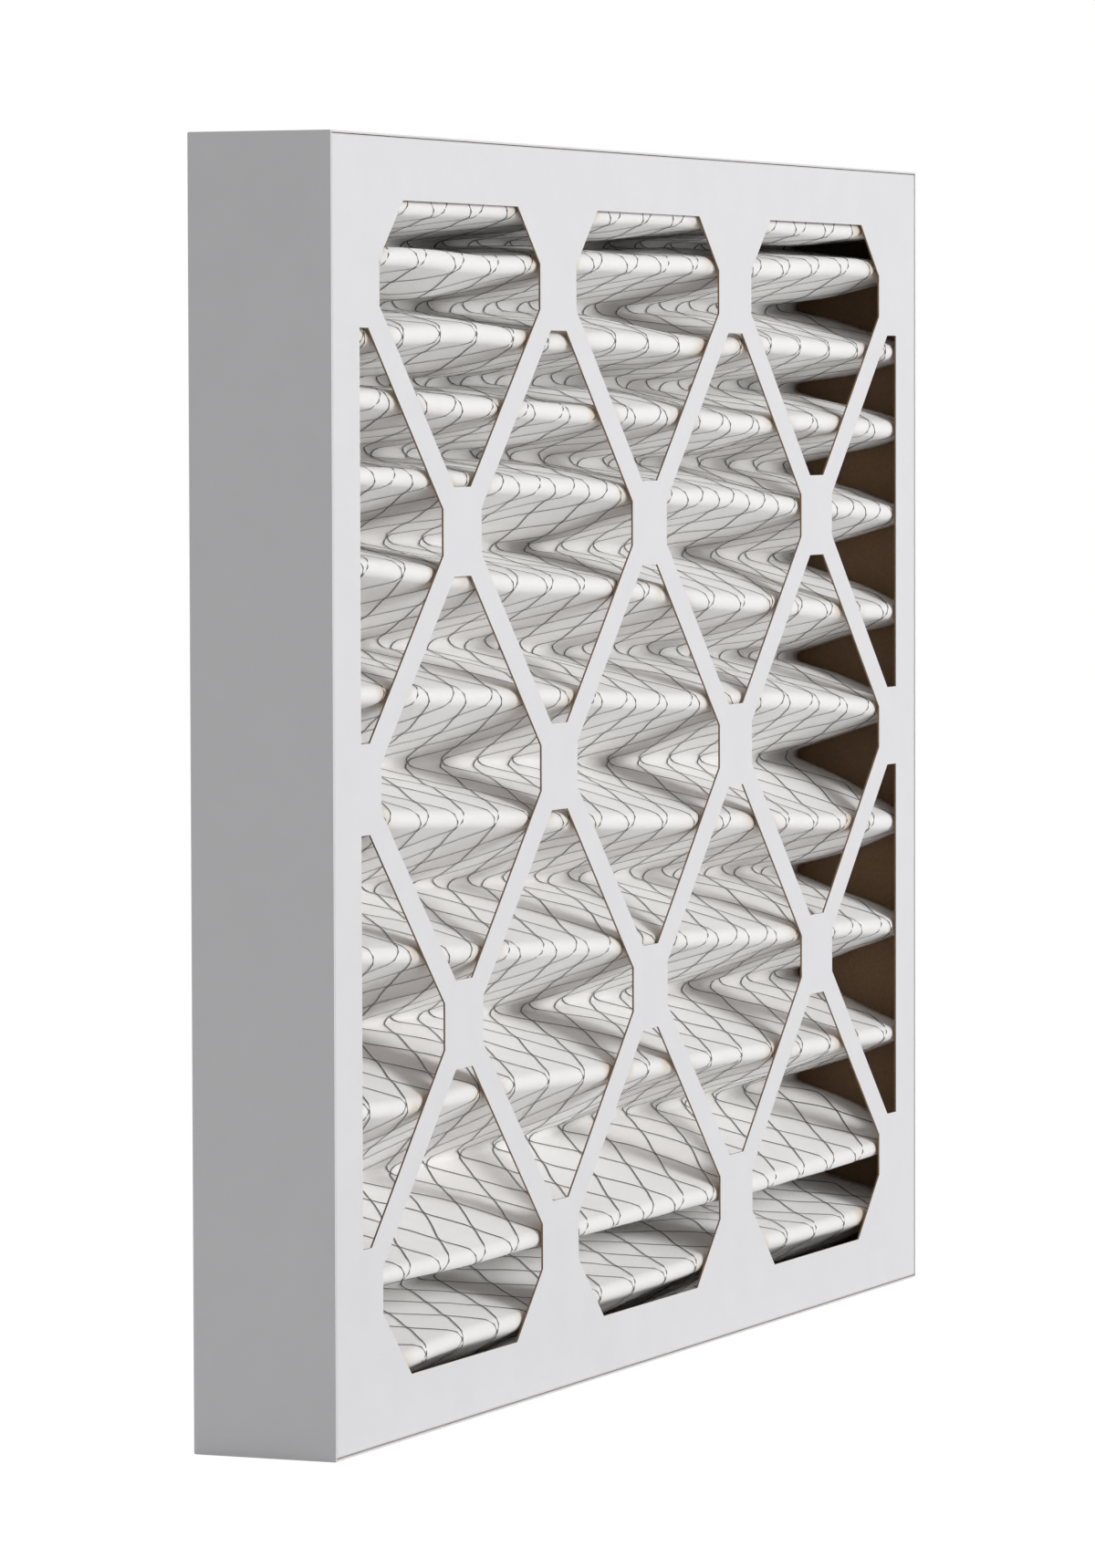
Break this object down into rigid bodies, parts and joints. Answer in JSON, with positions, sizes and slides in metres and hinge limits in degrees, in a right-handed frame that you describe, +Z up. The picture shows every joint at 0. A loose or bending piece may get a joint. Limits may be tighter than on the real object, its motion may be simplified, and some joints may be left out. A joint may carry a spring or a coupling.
{
  "type": "pleated panel air filter",
  "caption": "Shallow rectangular panel filter: two nested white board trays with diamond lattice faces hold deep-pleated media backed by an expanded metal grid.",
  "frame": {"origin": "middle of the base on which the filter stands, on its long edge", "axes": "+Z up along the short side, +X along the long side, -Y out of the air-leaving face"},
  "size_m": [0.4952, 0.047, 0.3937],
  "materials": {
    "paperboard": "white clay-coated beverage board, brown kraft inside and at cut edges",
    "filter_media": "off-white nonwoven cotton and polyester blend",
    "grid_steel": "dull galvanised expanded metal"
  },
  "bodies": {
    "root": {"rear_tray": "paperboard", "front_tray": "paperboard", "pleated_media": "filter_media", "support_grid": "grid_steel"}
  },
  "joints": []
}
